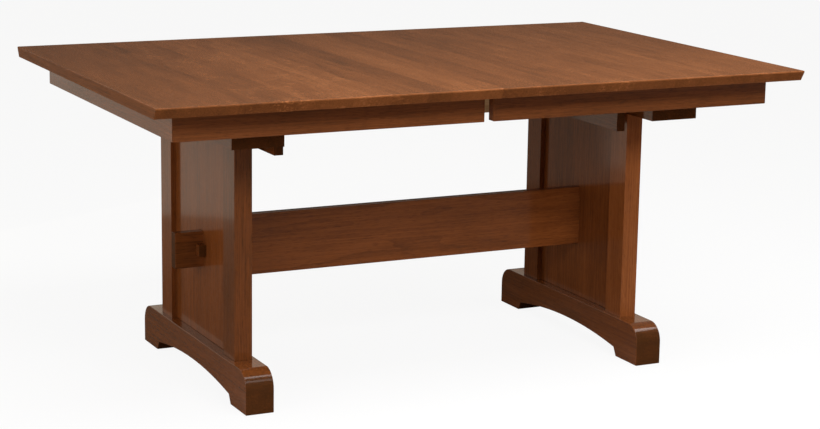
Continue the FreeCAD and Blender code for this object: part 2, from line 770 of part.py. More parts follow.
def wood_screws(label, places, seat, tip):
    fasteners(label, places, seat, tip, S.screw_radius, S.screw_head_radius, S.screw_head_height)


def make_pinion_pin(row, row_sign):
    """The steel pin that a pinion turns on, driven up into the centre rail."""
    label = f"{row}_pinion_pin"
    pin = upright("Part::Cylinder", label, (ZERO, row_sign * slide_middle),
                  (bearer_top, bearer_top + S.pin_top))
    bind(pin, "Radius", S.pin_radius)
    keep(pin, label)


def make_base_fasteners():
    """Bolts up through the feet, and the screws that hold bearers, slides and cleats."""
    posts = [place for _, sign in SIDES for place in post_places(sign)]
    fasteners("foot_bolts", posts, S.bolt_seat, S.bolt_seat + S.bolt_length,
              S.bolt_radius, S.bolt_head_radius, S.bolt_head_height)
    wood_screws("bearer_screws", posts, bearer_top - S.screw_head_height,
                bearer_top - S.bearer_screw_length)
    slides = [place for _, sign in SIDES for place in slide_screw_places(sign)]
    wood_screws("slide_screws", slides, bearer_bottom, bearer_top + S.screw_bite)
    cleats = [place for _, sign in SIDES for place in cleat_screw_places(sign)]
    wood_screws("cleat_screws", cleats, bearer_top - S.cleat_screw_cover,
                bearer_top + S.screw_bite)


# ---------------------------------------------------------------- top, aprons and locks

def dowel_places():
    """Evenly spaced across the table, the outer ones a set distance inside the aprons."""
    outer = apron_back - S.dowel_inset
    return [outer * (2 * index / (DOWELS - 1) - 1) for index in range(DOWELS)]


def make_top(side, sign):
    """Half of the top, with the screws that hold it to its rails.

    Its long edges slope in below, its ends are square and its upper edges are eased."""
    body = new_body(f"{side}_top")
    half_width = S.top_width / 2
    foot = half_width - S.edge_undercut
    seam = S.seam_gap / 2
    nose = S.table_height - S.edge_nose
    section = [(-foot, underside), (foot, underside), (half_width, nose),
               (half_width, S.table_height), (-half_width, S.table_height), (-half_width, nose)]
    blank = pad(body, "YZ_Plane", span(sign * seam, sign * S.top_length / 2), section)
    doc.recompute()

    def is_outer_arris(edge):
        high = all(abs(v.Z - S.table_height.number) < 0.01 for v in edge.Vertexes)
        at_seam = all(abs(abs(v.X) - seam.number) < 0.01 for v in edge.Vertexes)
        return high and not at_seam

    names = [f"Edge{index}" for index, edge in enumerate(blank.Shape.Edges, start=1)
             if is_outer_arris(edge)]
    eased = body.newObject("PartDesign::Fillet", body.Label + "_arris")
    eased.Base = (blank, names)
    bind(eased, "Radius", S.arris_radius)
    # The dowels are glued into the right half; the left half's holes leave them play.
    middle = underside + S.top_thickness / 2
    radius = S.dowel_radius + (S.hole_clearance if sign > 0 else S.dowel_play)
    depth = S.dowel_length / 2 + (ZERO if sign > 0 else 2 * S.dowel_play)
    cut(body, "YZ_Plane", span(sign * seam, sign * depth),
        circles=[(y, middle, radius) for y in dowel_places()])
    screws = [place for _, row_sign in ROWS for place in rail_screw_places(row_sign, sign)]
    drill(body, screws, screw_hole, (underside, underside + S.screw_bite))
    wood_screws(f"{side}_rail_screws", screws, underside - S.rail_screw_cover,
                underside + S.screw_bite)


def make_dowels():
    """Pegs glued into the right half that line up the seam as the left half closes on them."""
    pegs = []
    for index, y in enumerate(dowel_places(), start=1):
        peg = doc.addObject("Part::Cylinder", f"seam_dowel_{index}")
        bind(peg, "Radius", S.dowel_radius)
        bind(peg, "Height", S.dowel_length)
        peg.Placement.Rotation = FreeCAD.Rotation(Vector(0, 1, 0), 90)
        bind(peg, "Placement.Base.x", -S.dowel_length / 2)
        bind(peg, "Placement.Base.y", y)
        bind(peg, "Placement.Base.z", underside + S.top_thickness / 2)
        pegs.append(peg)
    group("seam_dowels", pegs)


def make_aprons(side, sign):
    """Two side aprons and an end apron, mitred at the corners, with a glue block in each corner."""
    height = (apron_bottom, underside)
    for row, row_sign in ROWS:
        body = new_body(f"{side}_{row}_apron")
        near = sign * S.apron_gap / 2
        pad(body, "XY_Plane", height, [
            (near, row_sign * apron_face), (sign * end_apron_face, row_sign * apron_face),
            (sign * end_apron_back, row_sign * apron_back), (near, row_sign * apron_back)])
        block = new_body(f"{side}_{row}_corner_block")
        leg = S.corner_block_leg
        pad(block, "XY_Plane", (underside - S.corner_block_height, underside), [
            (sign * end_apron_back, row_sign * apron_back),
            (sign * (end_apron_back - leg), row_sign * apron_back),
            (sign * end_apron_back, row_sign * (apron_back - leg))])
    end = new_body(f"{side}_end_apron")
    pad(end, "XY_Plane", height, [
        (sign * end_apron_face, -apron_face), (sign * end_apron_face, apron_face),
        (sign * end_apron_back, apron_back), (sign * end_apron_back, -apron_back)])


HOOK_SWING = 90.0
HOOK_LEAD = 30.0
HOOK_TRAIL = 22.0


def lever_solid(row_sign):
    """The open lever seen from above, pivot at the origin, its stud slot along an arc.

    The hook swings HOOK_SWING degrees to close. Its slot is an arc about the pivot that starts
    HOOK_LEAD degrees before the stud's place in the closed lock and ends round the stud."""
    reach = S.lock_reach.number
    slot = S.stud_radius.number + S.lever_play.number
    outer = reach + slot + S.lever_hook_wall.number
    thickness = S.lever_thickness.number
    up = Vector(0, 0, 1)
    lead = HOOK_SWING - HOOK_LEAD
    sweep = HOOK_LEAD + HOOK_TRAIL

    def sector(radius, start, angle):
        return Part.makeCylinder(radius, thickness, Vector(), up, angle).rotated(
            Vector(), up, start)

    ring = sector(reach + slot, lead, HOOK_LEAD).cut(sector(reach - slot, lead, HOOK_LEAD))
    seat = Part.makeCylinder(slot, thickness, Vector(0, reach, 0))
    handle_length = S.lever_handle.number
    handle_width = S.lever_handle_width.number
    handle = Part.makeBox(handle_length + S.lever_hook_wall.number, handle_width, thickness,
                          Vector(reach + slot, -handle_width / 2, 0))
    grip = Part.makeBox(thickness, handle_width, handle_width,
                        Vector(outer + handle_length - thickness, -handle_width / 2,
                               thickness - handle_width))
    trail = HOOK_SWING + HOOK_TRAIL / 2
    handle = handle.fuse(grip).rotated(Vector(), up, trail)
    hub = Part.makeCylinder(S.lever_hub_radius.number, thickness)
    solid = hub.fuse([sector(outer, lead, sweep), handle]).cut([ring, seat])
    solid = solid.cut(Part.makeCylinder(S.rivet_radius.number + S.pin_fit.number, thickness))
    solid = solid.removeSplitter()
    return solid if row_sign > 0 else solid.mirror(Vector(), Vector(0, 1, 0))


def make_lock(row, row_sign):
    """A plate with a rivet, the lever that turns on it, and the keeper on the other half."""
    line = row_sign * (apron_back - S.lock_inset)
    pivot = (-S.lock_pivot_setback, line)
    stud = (S.lock_reach - S.lock_pivot_setback, line)
    plate_bottom = underside - S.lock_plate_thickness
    lever_top = plate_bottom - S.lever_play
    lever_bottom = lever_top - S.lever_thickness
    head_top = lever_bottom - S.lever_play
    head_bottom = head_top - S.rivet_head_height

    plate = new_body(f"{row}_lock_plate")
    plate_near = S.lock_pivot_setback - S.lock_plate_width / 2
    pad(plate, "XY_Plane", (plate_bottom, underside),
        rectangle((-plate_near - S.lock_plate_width, -plate_near),
                  about(line, S.lock_plate_length)))
    pad(plate, "XY_Plane", (head_top, plate_bottom), circles=[(*pivot, S.rivet_radius)])
    pad(plate, "XY_Plane", (head_bottom, head_top), circles=[(*pivot, S.rivet_head_radius)])

    lever = doc.addObject("Part::Feature", f"{row}_lock_lever")
    lever.Shape = lever_solid(row_sign)
    bind(lever, "Placement.Base.x", pivot[0])
    bind(lever, "Placement.Base.y", pivot[1])
    bind(lever, "Placement.Base.z", lever_bottom)
    keep(lever, f"{row}_lock_lever")

    keeper = new_body(f"{row}_lock_keeper")
    pad(keeper, "XY_Plane", (plate_bottom, underside),
        rectangle(about(stud[0], S.keeper_width), about(line, S.lock_plate_length)))
    pad(keeper, "XY_Plane", (lever_bottom - S.lever_play, plate_bottom),
        circles=[(*stud, S.stud_radius)])


# ---------------------------------------------------------------- the whole table

def make_table():
    for side, sign in SIDES:
        make_foot(side, sign)
        for row, row_sign in ROWS:
            make_post(side, sign, row, row_sign)
        make_panel(side, sign)
        make_key(side, sign)
        make_bearer(side, sign)
        make_cleat(side, sign)
        make_top(side, sign)
        make_aprons(side, sign)
        make_stop_blocks(side, sign)
    make_stretcher()
    make_dowels()
    make_base_fasteners()
    for row, row_sign in ROWS:
        make_centre_rail(row, row_sign)
        make_pinion(row, row_sign)
        make_pinion_pin(row, row_sign)
        make_lock(row, row_sign)
        for side, sign in SIDES:
            make_moving_rail(row, row_sign, side, sign)
            make_rack(row, row_sign, side, sign)


def check_and_export():
    doc.recompute()
    for item in doc.Objects:
        if "Invalid" in item.State or "Error" in item.State:
            raise RuntimeError(f"{item.Name} failed: {item.State}")
    for node in NODES:
        if node.Shape.isNull() or not node.Shape.isValid():
            raise RuntimeError(f"{node.Label} has no valid shape")
    os.makedirs("parts", exist_ok=True)
    for node in NODES:
        node.Shape.exportStep(f"parts/{node.Label}.step")
        print(f"{node.Label}: {len(node.Shape.Solids)} solid(s), {node.Shape.Volume / 1000:.1f} cm3")
    print(f"{len(NODES)} sub-parts")


make_table()
check_and_export()
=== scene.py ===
# %% [markdown]
# # A trestle dining table in stained oak
# The construction is there already, as one solid for each piece of wood, gear and screw. This file
# gives it its looks. The solids come in first, so that every later piece has a fixed place to sit in.

# %% Load the table's solids
import json
import math

import bmesh
import bpy
from mathutils import Matrix, Vector

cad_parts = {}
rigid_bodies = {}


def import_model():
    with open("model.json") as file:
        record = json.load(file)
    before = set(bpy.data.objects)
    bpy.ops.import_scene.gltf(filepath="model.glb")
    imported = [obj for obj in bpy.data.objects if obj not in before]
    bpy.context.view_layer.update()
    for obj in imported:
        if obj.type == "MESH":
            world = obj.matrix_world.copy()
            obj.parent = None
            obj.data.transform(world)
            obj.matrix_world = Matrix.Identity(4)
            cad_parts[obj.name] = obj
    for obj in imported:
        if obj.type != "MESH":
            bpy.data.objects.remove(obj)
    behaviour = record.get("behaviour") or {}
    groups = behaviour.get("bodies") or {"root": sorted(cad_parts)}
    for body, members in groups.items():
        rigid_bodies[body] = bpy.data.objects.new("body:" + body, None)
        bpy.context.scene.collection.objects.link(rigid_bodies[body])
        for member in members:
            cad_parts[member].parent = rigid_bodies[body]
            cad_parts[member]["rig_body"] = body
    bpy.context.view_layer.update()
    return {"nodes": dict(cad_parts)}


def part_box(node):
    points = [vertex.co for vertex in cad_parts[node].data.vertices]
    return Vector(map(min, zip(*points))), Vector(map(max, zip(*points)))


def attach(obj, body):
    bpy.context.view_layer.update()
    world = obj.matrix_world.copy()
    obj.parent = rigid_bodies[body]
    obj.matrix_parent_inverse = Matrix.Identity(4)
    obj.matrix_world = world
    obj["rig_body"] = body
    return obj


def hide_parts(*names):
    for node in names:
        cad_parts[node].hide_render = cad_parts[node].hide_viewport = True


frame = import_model()

# %% [markdown]
# ## The camera
# A long lens from a little above the table top shows the table almost without perspective, as a
# catalogue does. A camera looks down its own -Z, so it is stood up by a turn of 90 degrees about X,
# then turned to its heading. One unit is one metre.

# %% Place the camera
CAMERA_PLACE = (-2.2738, -4.6765, 1.4708)
CAMERA_HEADING = math.radians(26.19)
CAMERA_TILT = math.radians(-12.04)
CAMERA_ROLL = math.radians(0.91)
LENS_MM = 91.62


def make_camera():
    lens = bpy.data.cameras.new("catalogue_camera")
    lens.lens = LENS_MM
    lens.clip_end = 100.0
    camera = bpy.data.objects.new("catalogue_camera", lens)
    heading = Matrix.Rotation(-CAMERA_HEADING, 4, "Z")
    tilt = Matrix.Rotation(math.radians(90) + CAMERA_TILT, 4, "X")
    roll = Matrix.Rotation(CAMERA_ROLL, 4, "Z")
    camera.matrix_world = Matrix.Translation(CAMERA_PLACE) @ heading @ tilt @ roll
    bpy.context.scene.collection.objects.link(camera)
    bpy.context.scene.camera = camera
    return camera


camera = make_camera()
bpy.context.scene.view_settings.view_transform = "Standard"
print("camera at", tuple(camera.location), "with a lens of", LENS_MM, "mm")

# %% [markdown]
# ## Shader sums as Python
# A material is a web of nodes. Written one node at a time, even a short sum takes ten lines. The class
# below wraps one socket and gives it Python's own operators, so that `1 - mask` adds a Math node by
# itself. Everything that isn't plain arithmetic comes from its one method, `node`.

# %% A socket that can be added, multiplied and raised
class Value:
    """One socket of a node tree, to be used in Python expressions."""

    def __init__(self, tree, socket=None):
        self.tree = tree
        self.socket = socket

    def node(self, kind, settings=None, sockets=None, output=0):
        """Adds a node: first its settings, then the values or links of its sockets."""
        made = self.tree.nodes.new("ShaderNode" + kind)
        for name, setting in (settings or {}).items():
            if name == "stops":
                set_stops(made.color_ramp, setting)
            elif name == "steps":
                made.color_ramp.interpolation = "CONSTANT"
                set_stops(made.color_ramp, setting)
            else:
                setattr(made, name, setting)
        for name, value in (sockets or {}).items():
            if isinstance(value, Value):
                self.tree.links.new(value.socket, made.inputs[name])
            else:
                made.inputs[name].default_value = value
        return Value(self.tree, made.outputs[output] if made.outputs else None)

    def maths(self, operation, *terms):
        """A Math node on these terms, or on this value alone."""
        return self.node("Math", {"operation": operation}, dict(enumerate(terms or (self,))))

    def limited(self):
        """The value, kept between 0 and 1."""
        return self.node("Clamp", sockets={"Value": self})

    def parts(self, kind="SeparateXYZ", socket="Vector"):
        """The X, Y and Z of a vector, or the channels of a colour."""
        split = self.node(kind, sockets={socket: self})
        return [Value(self.tree, output) for output in split.socket.node.outputs]

    def __add__(self, other):
        return self.maths("ADD", self, other)

    def __radd__(self, other):
        return self.maths("ADD", other, self)

    def __sub__(self, other):
        return self.maths("SUBTRACT", self, other)

    def __rsub__(self, other):
        return self.maths("SUBTRACT", other, self)

    def __mul__(self, other):
        return self.maths("MULTIPLY", self, other)

    def __rmul__(self, other):
        return self.maths("MULTIPLY", other, self)

    def __truediv__(self, other):
        return self.maths("DIVIDE", self, other)

    def __pow__(self, other):
        return self.maths("POWER", self, other)


def set_stops(ramp, stops):
    """Gives a colour ramp its stops, each a place from 0 to 1 and a colour."""
    while len(ramp.elements) > 1:
        ramp.elements.remove(ramp.elements[-1])
    for number, (place, colour) in enumerate(stops):
        stop = ramp.elements[0] if number == 0 else ramp.elements.new(place)
        stop.position = place
        stop.color = colour


def blend_colours(factor, first, second):
    """A Mix node for colours: its sockets go by number, because their names repeat."""
    return factor.node("Mix", {"data_type": "RGBA"}, {0: factor, 6: first, 7: second}, output=2)


def new_tree(owner):
    """An empty tree of nodes on a material or a world, and the value that its first nodes come from."""
    owner.use_nodes = True
    owner.node_tree.nodes.clear()
    return Value(owner.node_tree)


def close_tree(shader, kind="Material"):
    """Links the finished shader to the output of its tree."""
    shader.node("Output" + kind, sockets={"Surface": shader})


# %% [markdown]
# ## Floor
# A catalogue picture stands on white, but a white floor would throw light up under the table and fill
# the lacquer with haze. So the floor has two tones. Light that bounces off it meets a warm grey, and
# what the lens sees is nearly all white. The rest is a faint shadow, which is what makes the table
# stand on it rather than float. A gloss mirrors the white only where it is well away.

# %% The floor
FLOOR_TONE = (0.34, 0.29, 0.25, 1.0)
FLOOR_SEEN = (0.95, 0.95, 0.95, 1.0)
FLOOR_WHITE = 0.91
FLOOR_REACH = 30.0
HAZE_STARTS = 5.0
HAZE_WIDTH = 4.0
WHITE = (1.0, 1.0, 1.0, 1.0)


def ray_is(start, kind):
    """1 for rays of one kind, such as Camera for those that start at the lens, and 0 for others."""
    path = start.node("LightPath").socket.node
    return Value(start.tree, path.outputs[f"Is {kind} Ray"])


def make_floor():
    mesh = bpy.data.meshes.new("floor")
    corners = [(x * FLOOR_REACH, y * FLOOR_REACH, 0.0) for x, y in ((-1, -1), (1, -1), (1, 1), (-1, 1))]
    mesh.from_pydata(corners, [], [(0, 1, 2, 3)])
    floor = bpy.data.objects.new("floor", mesh)
    bpy.context.scene.collection.objects.link(floor)
    material = bpy.data.materials.new("pale_floor")
    start = new_tree(material)
    x, y, _ = start.node("TexCoord", output="Object").parts()
    far = (((x ** 2.0 + y ** 2.0) ** 0.5 - HAZE_STARTS) / HAZE_WIDTH).limited()
    from_lens = ray_is(start, "Camera")
    direct = (from_lens + ray_is(start, "Transmission") + ray_is(start, "Glossy") * far).limited()
    lit = start.node("BsdfDiffuse", sockets={"Color": blend_colours(from_lens, FLOOR_TONE, FLOOR_SEEN)})
    white = start.node("Emission", sockets={"Color": WHITE, "Strength": 1.0})
    close_tree(start.node("MixShader", sockets={0: direct * FLOOR_WHITE, 1: lit, 2: white}))
    mesh.materials.append(material)
    return floor


floor = make_floor()
print(floor.name, 2 * FLOOR_REACH, "m square")

# %% [markdown]
# ## Light
# Five softboxes, as in a furniture studio, and a dim room around them. The main one stands in front,
# about 32 degrees up, and draws the shadow of the top's edge along the aprons. A wide one hangs
# overhead, just in front of the top, and a square one lights the outside of the left trestle. The end
# one stands on the floor behind the left end, where the lacquer of the end panel mirrors it: that
# grey sheen with its sharp lower edge is what makes lacquer look like lacquer. The far one, low behind
# the table and very weak, is what the right trestle mirrors.
#
# The room itself is mirrored too. It stays dim near the horizon, because a table top seen at a shallow
# angle mirrors just that part, and a bright one would wash the stain out. A little higher lies a warm
# band, which the tops of the feet mirror. The left of the room is lighter than the rest.

# %% The room and its softboxes
ROOM_OVERHEAD = (0.20, 0.195, 0.18, 1.0)
ROOM_BAND = (0.80, 0.62, 0.48, 1.0)
ROOM_HORIZON = (0.058, 0.056, 0.051, 1.0)
ROOM_LEFT = (0.48, 0.46, 0.43, 1.0)
HORIZON_TOP = 0.215
BAND_BOTTOM = 0.24
BAND_TOP = 0.40
LEFT_RISE = 1.2
LEFT_EDGE = 0.2
TABLE_MIDDLE = (0.0, 0.0, 0.62)


def make_room():
    world = bpy.data.worlds.new("studio")
    start = new_tree(world)
    to_right, _, height = start.node("TexCoord", output="Generated").parts()
    stops = [
        (0.0, ROOM_HORIZON),
        (HORIZON_TOP, ROOM_HORIZON),
        (BAND_BOTTOM, ROOM_BAND),
        (BAND_TOP, ROOM_OVERHEAD),
    ]
    light = height.node("ValToRGB", {"stops": stops}, {"Fac": height})
    light = blend_colours((to_right * -LEFT_RISE - LEFT_EDGE).limited(), light, ROOM_LEFT)
    colour = blend_colours(ray_is(start, "Camera"), light, WHITE)
    close_tree(start.node("Background", sockets={"Color": colour, "Strength": 1.0}), "World")
    bpy.context.scene.world = world


def make_softbox(name, place, aim, width, height, watts, colour=(1.0, 1.0, 1.0)):
    light = bpy.data.lights.new(name, "AREA")
    light.shape = "RECTANGLE"
    light.size = width
    light.size_y = height
    light.energy = watts
    light.color = colour
    lamp = bpy.data.objects.new(name, light)
    lamp.location = place
    lamp.rotation_euler = (Vector(aim) - Vector(place)).to_track_quat("-Z", "Y").to_euler()
    lamp.visible_camera = False
    bpy.context.scene.collection.objects.link(lamp)
    print("softbox", name, "of", watts, "W")


make_room()
make_softbox("front_softbox", (0.2, -3.06, 2.52), TABLE_MIDDLE, 1.6, 0.75, 48.0)
make_softbox("top_softbox", (0.55, -1.1, 2.66), (0.55, -1.1, 0.0), 3.4, 1.1, 72.0)
make_softbox("side_softbox", (-2.5, -1.1, 1.1), (-0.5, 0.0, 0.45), 0.9, 0.9, 11.5)
make_softbox("end_softbox", (-1.85, 1.25, 0.45), (-1.25, 0.45, 0.45), 2.6, 0.9, 4.8, (1.0, 0.97, 0.82))
make_softbox("far_softbox", (-0.4, 1.85, 0.3), (0.03, 0.97, 0.3), 1.1, 0.6, 0.5, (1.0, 0.93, 0.75))

# %% [markdown]
# ## Oak as a solid
# Grain isn't a picture on the surface: it is the log, cut open. So the colour is worked out in three
# dimensions. Growth rings are cylinders round the pith of the log, which lies outside the board, and
# pores and fibres are noise drawn out along the grain. Faces, edges and end grain then agree with each
# other on every piece, however it is shaped.

# %% Noise drawn out along the grain
GRAIN_AXES = {"X": 0, "Y": 1, "Z": 2}


def field(place, grain, along, across, seed, detail=2.0, distortion=0.0):
    """Noise from 0 to 1 whose patches are along by across metres in size."""
    scale = [1 / across] * 3
    scale[GRAIN_AXES[grain]] = 1 / along
    drawn = place.node("Mapping", sockets={
        "Vector": place, "Location": (seed, 1.7 * seed, 2.3 * seed), "Scale": scale})
    settings = {"noise_dimensions": "3D"}
    return drawn.node("TexNoise", settings, {
        "Vector": drawn, "Scale": 1.0, "Detail": detail, "Roughness": 0.55, "Distortion": distortion})


# %% Growth rings
RING_WIDTH = 0.0034
RING_WOBBLE = 0.014


def growth_rings(place, grain, pith, seed):
    """0 in the hard late wood and 1 in the open early wood where a ring starts."""
    axes = place.parts()
    first, second = [axes[axis] for axis in range(3) if axis != GRAIN_AXES[grain]]
    from_pith = ((first - pith[0]) ** 2.0 + (second - pith[1]) ** 2.0) ** 0.5
    wobble = (field(place, grain, 0.55, 0.09, seed) - 0.5) * RING_WOBBLE
    ring = ((from_pith + wobble) / RING_WIDTH).maths("FRACT")
    return (1 - ring) ** 2.5


# %% [markdown]
# One finish serves every oak piece. What differs from piece to piece is the direction of the grain,
# where the pith lies, and how dark that board took the stain. The stain sits deepest in the pores, and
# end grain drinks more of it than a face does. A thin clear lacquer goes over it as the shader's coat.
# Under it the wood has hardly any gloss of its own, so that the lacquer alone mirrors the room.
#
# The depths below say how strongly each feature of the wood makes the tone darker or lighter. The tip shade
# is no feature of the wood: it is painted shade on the ends of a piece.

# %% Stained and lacquered oak
STAIN = (0.205, 0.059, 0.0145)
TOP_STAIN = (0.205, 0.069, 0.0215)
# The aprons' stain is a little greyer than the rest: partly their own colour, partly painted sheen of the
# lacquer.
APRON_STAIN_AND_PAINTED_SHEEN = (0.200, 0.062, 0.0185)
MIDDLE = 0.55
CLOUD_DEPTH = 0.42
FIBRE_DEPTH = 0.75
RING_DEPTH = 0.14
PORE_DEPTH = 0.28
STREAK_DEPTH = 0.18
RAY_DEPTH = 0.50
TONE_LIFT = 0.09
# Painted shade on the stretcher's tenons: how much darker they get, and how steeply it sets in.
TIP_PAINTED_SHADE = 0.30
TIP_PAINTED_SHADE_RISE = 40


def shade(colour, factor, warmth=1.0):
    """A colour made lighter or darker; more warmth takes out green and blue."""
    red, green, blue = colour
    return (red * factor, green * factor / warmth, blue * factor / warmth ** 2, 1.0)


def stain_ramp(stain):
    return [
        (0.0, shade(stain, 0.34, 0.80)),
        (0.30, shade(stain, 0.66, 0.93)),
        (MIDDLE, shade(stain, 1.00)),
        (0.80, shade(stain, 1.36, 0.97)),
        (1.0, shade(stain, 1.75, 0.92)),
    ]


def facing(start, axis):
    """How squarely a surface faces along an axis, from 0 to 1."""
    normal = start.node("TexCoord", output="Normal").parts()[axis]
    return normal.maths("ABSOLUTE")


def stained_oak(name, grain, pith=(0.3, 0.2), tone=0.5, seed=1.0, flecks=0.0, stain=STAIN, gloss=0.40,
                end_shade=0.30, dull_edges=0.0, dark_tips=None, boards=None):
    """A lacquered oak finish. boards is given where a piece is glued up from several boards, and the tips,
    in metres from the middle, where painted shade darkens the ends of a piece."""
    material = bpy.data.materials.new(name)
    start = new_tree(material)
    place = start.node("TexCoord", output="Object")
    if boards:
        tone, pith, flecks, shift = board_values(place, *boards)
        place = place.node("VectorMath", {"operation": "ADD"}, {0: place, 1: shift})
    # Painted shade: past this distance from the middle the ends of the piece turn darker, standing in for
    # the shadow on the stretcher's tenons.
    if dark_tips:
        from_middle = place.parts()[GRAIN_AXES[grain]].maths("ABSOLUTE")
        tone = tone - ((from_middle - dark_tips) * TIP_PAINTED_SHADE_RISE).limited() * TIP_PAINTED_SHADE
    early = growth_rings(place, grain, pith, seed)
    clouds = field(place, grain, 0.35, 0.05, seed + 5)
    fibre = field(place, grain, 0.16, 0.0035, seed + 11, detail=4.0)
    pores = ((field(place, grain, 0.014, 0.0006, seed + 17, detail=1.0) - 0.56) * 9).limited()
    pores = pores * (early * 0.8 + 0.2)
    streaks = ((field(place, grain, 0.022, 0.0022, seed + 19, detail=1.0) - 0.54) * 7).limited()
    patches = ((field(place, grain, 0.10, 0.05, seed + 23) - 0.47) * 8).limited()
    ribbon = field(place, grain, 0.006, 0.016, seed + 29, detail=1.0, distortion=1.6)
    ray = ((ribbon - 0.55) * 14).limited() * patches * flecks
    # End grain drinks more stain and comes out darker; where this setting is negative it comes out lighter
    # instead, which is painted light.
    end = ((facing(start, GRAIN_AXES[grain]) - 0.6) * 4).limited()
    level = (tone + (clouds - 0.5) * CLOUD_DEPTH + (fibre - 0.5) * FIBRE_DEPTH
             - early * RING_DEPTH + TONE_LIFT - pores * PORE_DEPTH - streaks * STREAK_DEPTH
             + ray * RAY_DEPTH - end * end_shade)
    colour = level.node("ValToRGB", {"stops": stain_ramp(stain)}, {"Fac": level})
    edge = (1 - facing(start, GRAIN_AXES["Z"])) * dull_edges
    rough = 0.24 + pores * 0.2 + (clouds - 0.5) * 0.10 + end * 0.14 + edge * 0.35
    bump = start.node("Bump", sockets={
        "Strength": 0.22, "Distance": 0.0003, "Height": fibre * 0.35 - pores * 0.6 - early * 0.15})
    close_tree(start.node("BsdfPrincipled", sockets={
        "Base Color": colour, "Roughness": rough, "Normal": bump, "Specular IOR Level": 0.02,
        "Coat Weight": (1 - end * 0.9) * (1 - edge) * gloss, "Coat Roughness": 0.09, "Coat IOR": 1.5}))
    return material


# %% [markdown]
# ## Easing the edges
# No wooden edge is razor sharp: a maker takes the arris off with sandpaper, and that small round is
# what catches the light. The solids have sharp edges, so each piece is made again from its solid: the
# triangles are joined into flat faces, and a Bevel modifier rounds what is left. A Weighted Normal
# modifier then lets the large faces decide the shading, which keeps them looking flat.

# %% Remake a piece with eased edges
SHARP = math.radians(28)
FLAT = math.radians(0.4)
MERGE_DISTANCE = 1e-6


def eased(node, radius, segments=2):
    """A piece of the same shape as a solid, with rounded edges, in the solid's place."""
    mesh = bpy.data.meshes.new(node + "_eased")
    shape = bmesh.new()
    shape.from_mesh(frame["nodes"][node].data)
    bmesh.ops.remove_doubles(shape, verts=shape.verts, dist=MERGE_DISTANCE)
    bmesh.ops.dissolve_limit(shape, angle_limit=FLAT, verts=shape.verts, edges=shape.edges,
                             delimit={"NORMAL"})
    shape.to_mesh(mesh)
    shape.free()
    for stale in ("custom_normal", "sharp_face"):
        if stale in mesh.attributes:
            mesh.attributes.remove(mesh.attributes[stale])
    mesh.polygons.foreach_set("use_smooth", [True] * len(mesh.polygons))
    piece = bpy.data.objects.new(node + "_eased", mesh)
    bpy.context.scene.collection.objects.link(piece)
    rounding = piece.modifiers.new("rounding", "BEVEL")
    rounding.width = radius
    rounding.segments = segments
    rounding.limit_method = "ANGLE"
    rounding.angle_limit = SHARP
    piece.modifiers.new("flat_faces", "WEIGHTED_NORMAL")
    return piece


def install(piece, node, material):
    """Gives a piece its finish and puts it in its solid's place, on the solid's body."""
    piece.data.materials.clear()
    piece.data.materials.append(material)
    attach(piece, frame["nodes"][node]["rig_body"])
    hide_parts(node)
    return piece


# %% [markdown]
# ## The top
# The top is glued up from boards of uneven widths that run across the table. The boards' widths go
# into a colour ramp with hard steps along the table. Its red channel holds how the board took the
# stain, its green where its pith lay, and its blue how much ray fleck it shows.

# %% Boards side by side
BOARDS = {
    "left": (0.097, 0.091, 0.050, 0.105, 0.075, 0.042, 0.044, 0.051, 0.087, 0.062, 0.084, 0.050),
    "right": (0.084, 0.080, 0.080, 0.109, 0.110, 0.114, 0.115, 0.146),
}
BOARD_TONES = {
    "left": (0.50, 0.51, 0.48, 0.55, 0.64, 0.70, 0.74, 0.70, 0.55, 0.49, 0.72, 0.71),
    "right": (0.52, 0.57, 0.50, 0.60, 0.60, 0.63, 0.63, 0.63),
}
BOARD_FLECKS = {
    "left": (0.2, 0.4, 0.6, 1.0, 0.9, 1.0, 0.9, 1.0, 0.5, 0.3, 0.2, 0.3),
    "right": (0.2, 0.5, 0.3, 0.6, 0.2, 0.4, 0.5, 0.2),
}
PITH_DEPTH = 0.09
PITH_SWING = 0.24
TOP_EASE = 0.0014


def board_values(place, start_x, span, widths, tones, flecks):
    """The tone, pith, flecks and pattern shift of the board that a place is in."""
    steps = []
    edge = 0.0
    for number, width in enumerate(widths):
        side = 0.5 + 0.5 * math.sin(2.4 * number + 7 * start_x)
        steps.append((edge / span, (tones[number], side, flecks[number], 1.0)))
        edge += width
    along = (place.parts()[0] - start_x) / span
    chosen = along.node("ValToRGB", {"steps": steps}, {"Fac": along})
    tone, pith_side, fleck = chosen.parts("SeparateColor", "Color")
    pith_x = (pith_side - 0.5) * PITH_SWING + (start_x + 0.5 * span)
    shift = tone.node("CombineXYZ", sockets={"Y": pith_side * 3.1 + tone * 5.3})
    return tone, (pith_x, -PITH_DEPTH), fleck, shift


def make_top(side):
    node = f"{side}_top"
    low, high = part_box(node)
    boards = (low.x, high.x - low.x, BOARDS[side], BOARD_TONES[side], BOARD_FLECKS[side])
    finish = stained_oak(f"{side}_top_oak", "Y", seed=3.0, stain=TOP_STAIN, end_shade=0.0,
                         dull_edges=0.9, boards=boards)
    return install(eased(node, TOP_EASE, 3), node, finish)


for side in ("left", "right"):
    top = make_top(side)
    print(top.name, len(BOARDS[side]), "boards", round(sum(BOARDS[side]), 3), "m")

# %% [markdown]
# ## Aprons, trestles and stretcher
# The rest of the oak is single boards. Each has its grain along its length and its own pith, and the
# four posts took the stain differently. Feet and posts are rounded a little more than the others.

# %% Oak pieces of one board each
EASE = 0.0013
POST_EASE = 0.002
FOOT_EASE = 0.003
POST_TONES = {
    ("left", "front"): 0.36,
    ("left", "rear"): 0.54,
    ("right", "front"): 0.82,
    ("right", "rear"): 0.5,
}


def oak_piece(node, grain, tone, pith, seed, radius=EASE, **finish):
    material = stained_oak(f"{node}_oak", grain, pith=pith, tone=tone, seed=seed, **finish)
    return install(eased(node, radius), node, material)


